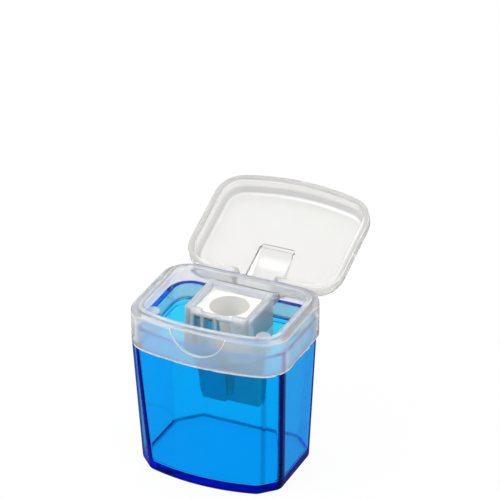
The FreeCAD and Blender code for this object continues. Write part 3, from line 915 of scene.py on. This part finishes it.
collar_finish = new_material("frosted_collar_plastic")
x, y, z = collar_finish.axes()
skirt_highlight = collar_finish.fall(z, *SKIRT_FADE)
lip_highlight = collar_finish.rise(z, *LIP_FADE)
over_thumb = z - (SKIRT_Z + THUMB_Z)
off_recess = ((x * x + over_thumb * over_thumb).root() - THUMB_R).absolute()
in_front = collar_finish.fall(y, THUMB_FLOOR, THUMB_FLOOR + SOFT_FADE)
recess_highlight = collar_finish.fall(off_recess, *RECESS_FADE) * in_front
pocket_middle, pocket_reach = (POCKET_FRONT + POCKET_REAR) / 2, (POCKET_REAR - POCKET_FRONT) / 2
in_width = collar_finish.fall(x.absolute(), POCKET_HALF, POCKET_HALF + SOFT_FADE)
in_depth = collar_finish.fall((y - pocket_middle).absolute(), pocket_reach, pocket_reach + SOFT_FADE)
collar_painted_highlights = collar_finish.largest(
    skirt_highlight * SKIRT_HIGHLIGHT, recess_highlight * RECESS_HIGHLIGHT,
    lip_highlight * LIP_HIGHLIGHT, in_width * in_depth * POCKET_PAINTED_LIGHT)
collar_frost = frosted(collar_finish, COLLAR_LIGHT, COLLAR_CLOUD, COLLAR_HAZE, COLLAR_CLEAR, collar_painted_highlights)

# %% [markdown]
# The cover's plate is painted a little greyer than its wall, and a line of painted shade runs where they
# meet. Both are painted shade and depend on the height over the rim, which is measured square to the open
# cover.

# %% Frosted cover
COVER_LIGHT, COVER_CLOUD = (0.93, 0.92, 0.895), (0.895, 0.885, 0.86)
COVER_HAZE, COVER_CLEAR = 0.05, 0.85
# The rim's edge gets a painted highlight; the cove line and the plate get painted shade.
RIM_FADE, COVE_BAND, PLATE_STARTS = (0.15, 0.6), (2.3, 3.0, 3.25, 3.42), (3.55, 3.58)
RIM_HIGHLIGHT, COVE_SHADE, PLATE_SHADE = 0.25, 0.85, 0.18

cover_finish = new_material("frosted_cover_plastic")
x, y, z = cover_finish.axes()
along_rim = opened.to_3x3() @ Vector((0.0, 0.0, 1.0))
rim_level = (opened @ (Vector((0.0, 0.0, SKIRT_Z + COVER_LOW)) * MM)).dot(along_rim) / MM
over_rim = y * along_rim.y + z * along_rim.z - rim_level
rim_highlight = cover_finish.fall(over_rim, *RIM_FADE)
cove_shade_line = cover_finish.band(over_rim, *COVE_BAND)
on_plate = cover_finish.rise(over_rim, *PLATE_STARTS)
cover_shade = cover_finish.largest(cove_shade_line * COVE_SHADE, on_plate * PLATE_SHADE)
cover_frost = frosted(
    cover_finish, COVER_LIGHT, COVER_CLOUD, COVER_HAZE, COVER_CLEAR, rim_highlight * RIM_HIGHLIGHT, cover_shade)

# %% [markdown]
# ### Cream plastic and steel
# The block is opaque, slightly mottled and satin. The blade is ground along its length, so its marks are
# fine lines. The screw is bright plated, with fine marks left by turning. One flat colour would look like
# paint, so noise changes the colour, the roughness and the surface a little. On the blade the noise is
# squeezed across the strip and stretched along it, which draws it out into lines.

# %% Cream block
CREAM_LIGHT, CREAM_DARK = (0.79, 0.765, 0.73), (0.73, 0.705, 0.665)
SATIN, SATIN_GRAIN = 0.4, 0.15
MOTTLE_SIZE, MOTTLE_DETAIL, CREAM_GRAIN, CREAM_DETAIL, CREAM_DEPTH = 2.2, 4.0, 0.22, 2.0, 0.006

cream = new_material("cream_plastic")
cream_grain = cream.noise(CREAM_GRAIN, CREAM_DETAIL)
cream_block = cream.close(cream.node("ShaderNodeBsdfPrincipled", {}, {
    "Base Color": cream.blend(cream.noise(MOTTLE_SIZE, MOTTLE_DETAIL), CREAM_LIGHT, CREAM_DARK),
    "Roughness": SATIN + cream_grain * SATIN_GRAIN,
    "Normal": cream.bump(cream_grain, CREAM_DEPTH),
    "IOR": 1.5,
}))

# %% Blade and screw steel
GROUND_LIGHT, GROUND_DARK, STAIN_SIZE = (0.60, 0.61, 0.63), (0.50, 0.51, 0.53), 3.0
GRIND_SIZE, GRIND_DETAIL, GRIND_STRETCH, GRIND_DEPTH = 0.9, 5.0, (8.0, 0.15, 0.15), 0.006
GROUND_ROUGH, GRIND_ROUGH = 0.25, 0.25
PLATED_LIGHT, PLATED_DARK = (0.74, 0.75, 0.77), (0.64, 0.65, 0.67)
TURNING_SIZE, TURNING_DEPTH, PLATED_ROUGH, TURNING_ROUGH = 0.25, 0.004, 0.18, 0.15

ground = new_material("ground_steel")
grinding = ground.noise(GRIND_SIZE, GRIND_DETAIL, GRIND_STRETCH)
blade_steel = ground.close(ground.node("ShaderNodeBsdfPrincipled", {}, {
    "Base Color": ground.blend(ground.noise(STAIN_SIZE), GROUND_LIGHT, GROUND_DARK),
    "Metallic": 1.0,
    "Roughness": GROUND_ROUGH + grinding * GRIND_ROUGH,
    "Normal": ground.bump(grinding, GRIND_DEPTH),
}))
plated = new_material("plated_steel")
turning = plated.noise(TURNING_SIZE)
screw_steel = plated.close(plated.node("ShaderNodeBsdfPrincipled", {}, {
    "Base Color": plated.blend(turning, PLATED_LIGHT, PLATED_DARK),
    "Metallic": 1.0,
    "Roughness": PLATED_ROUGH + turning * TURNING_ROUGH,
    "Normal": plated.bump(turning, TURNING_DEPTH),
}))

# %% [markdown]
# ## Put the pieces in the frame
# Each piece gets smooth shading except at its crisp edges. Weighted normals keep the broad faces flat,
# which matters where light is bent through them. Then each piece is tied to its body and stands for its CAD
# solid.

# %% Shade and finish a piece
SMOOTH_ANGLE = math.radians(35)


def settle(obj, material):
    """Merge, shade and finish a piece, and print whether it is closed."""
    edit(obj)
    bpy.ops.mesh.select_all(action="SELECT")
    bpy.ops.mesh.remove_doubles(threshold=MERGE)
    leave_edit()
    for layer in ("order", "loop"):
        if layer in obj.data.attributes:
            obj.data.attributes.remove(obj.data.attributes[layer])
    bpy.ops.object.shade_smooth_by_angle(angle=SMOOTH_ANGLE)
    even = obj.modifiers.new("even shading", "WEIGHTED_NORMAL")
    even.keep_sharp = True
    bpy.ops.object.modifier_apply(modifier=even.name)
    obj.data.materials.clear()
    obj.data.materials.append(material)
    mesh = bmesh.new()
    mesh.from_mesh(obj.data)
    open_edges = sum(not e.is_manifold for e in mesh.edges)
    volume = round(mesh.calc_volume() / MM ** 3, 1)
    print(obj.name, "faces", len(mesh.faces), "open edges", open_edges, "volume mm3", volume)
    mesh.free()


print("edges under", round(math.degrees(SMOOTH_ANGLE)), "degrees are shaded smooth")

# %% Tie each piece to its body
PIECES = (
    (container, clear_blue, "container", "container", "clear_blue"),
    (collar, collar_frost, "top", "collar", "frosted_collar"),
    (block, cream_block, "top", "sharpener_block", "cream_block"),
    (blade, blade_steel, "top", "blade", "blade_steel"),
    (screw, screw_steel, "top", "blade_screw", "screw_steel"),
    (cover, cover_frost, "cover", "cover", "frosted_cover"),
    (strap, cover_frost, "strap", "hinge_strap", "frosted_cover"),
)
for obj, material, body, node, slot_name in PIECES:
    settle(obj, material)
    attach(obj, body)
    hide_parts(node)

# %% [markdown]
# ## Floor and light
# The photograph has a white ground and broad soft light. The floor is a pale surface that takes the
# object's shadow, and it shows as white to the camera and through the clear plastic. In mirror reflections
# it is dimmer, because a white one would veil the blue walls. The world gives most of the light, because
# clear walls are lit from all round, and two large lamps give the forms their shape. Light that is caught
# in a clear wall turns many times before it leaves, so it is followed for many bounces. With fewer, walls
# seen edge on would go black.

# %% White floor
FLOOR_HALF, FLOOR_DROP, FLOOR_GREY = 3.0, 0.1, (0.75, 0.75, 0.75, 1.0)
WHITE = (1.0, 1.0, 1.0, 1.0)
MIRROR_GLOW, GLOW_SHARE = 0.1, 0.94

clear_selection()
bpy.ops.mesh.primitive_plane_add(size=2 * FLOOR_HALF, location=(0.0, 0.0, -FLOOR_DROP * MM))
floor = bpy.context.object
floor.name = "studio_floor"
pale = new_material("studio_white")
paths = pale.node("ShaderNodeLightPath").socket.node.outputs
camera_ray, glossy_ray, clear_ray = (
    Value(pale, paths[name]) for name in ("Is Camera Ray", "Is Glossy Ray", "Is Transmission Ray"))
clear_view = pale.largest(camera_ray, clear_ray)
seen = pale.largest(clear_view, glossy_ray)
matte = pale.node("ShaderNodeBsdfDiffuse", {}, {"Color": FLOOR_GREY})
glow = pale.node("ShaderNodeEmission", {}, {
    "Color": WHITE, "Strength": pale.largest(clear_view, glossy_ray * MIRROR_GLOW)})
floor.data.materials.append(
    pale.close(pale.node("ShaderNodeMixShader", {}, {0: seen * GLOW_SHARE, 1: matte, 2: glow})))

# %% World
HORIZON, ZENITH, ZENITH_FROM = 0.5, 1.5, 0.8
BOUNCES = 40

room = Finish(bpy.data.worlds.new("studio"))
direction = room.node("ShaderNodeTexCoord", output="Generated")
height = room.node("ShaderNodeSeparateXYZ", {}, {"Vector": direction}, output="Z")
glimpse = room.node("ShaderNodeLightPath", output="Is Camera Ray")
sky = room.node("ShaderNodeBackground", {}, {
    "Color": WHITE,
    "Strength": room.largest(glimpse, HORIZON + room.rise(height, 0.0, ZENITH_FROM) * (ZENITH - HORIZON))})
bpy.context.scene.world = room.close(sky, kind="ShaderNodeOutputWorld")
cycles = bpy.context.scene.cycles
cycles.max_bounces = cycles.transmission_bounces = cycles.glossy_bounces = BOUNCES

# %% Lamps
LAMP_SIZE, LAMP_AIM = 0.6, Vector((0.0, 0.0, 0.03))
LAMPS = (("key_left", (-0.55, -0.35, 0.75), 3.0), ("fill_right", (0.7, -0.1, 0.5), 1.0))

for name, place, power in LAMPS:
    light = bpy.data.lights.new(name, "AREA")
    light.size, light.energy = LAMP_SIZE, power
    lamp = bpy.data.objects.new(name, light)
    bpy.context.scene.collection.objects.link(lamp)
    lamp.location = place
    lamp.rotation_euler = (LAMP_AIM - lamp.location).to_track_quat("-Z", "Y").to_euler()
    print("lamp", name, power, "W")
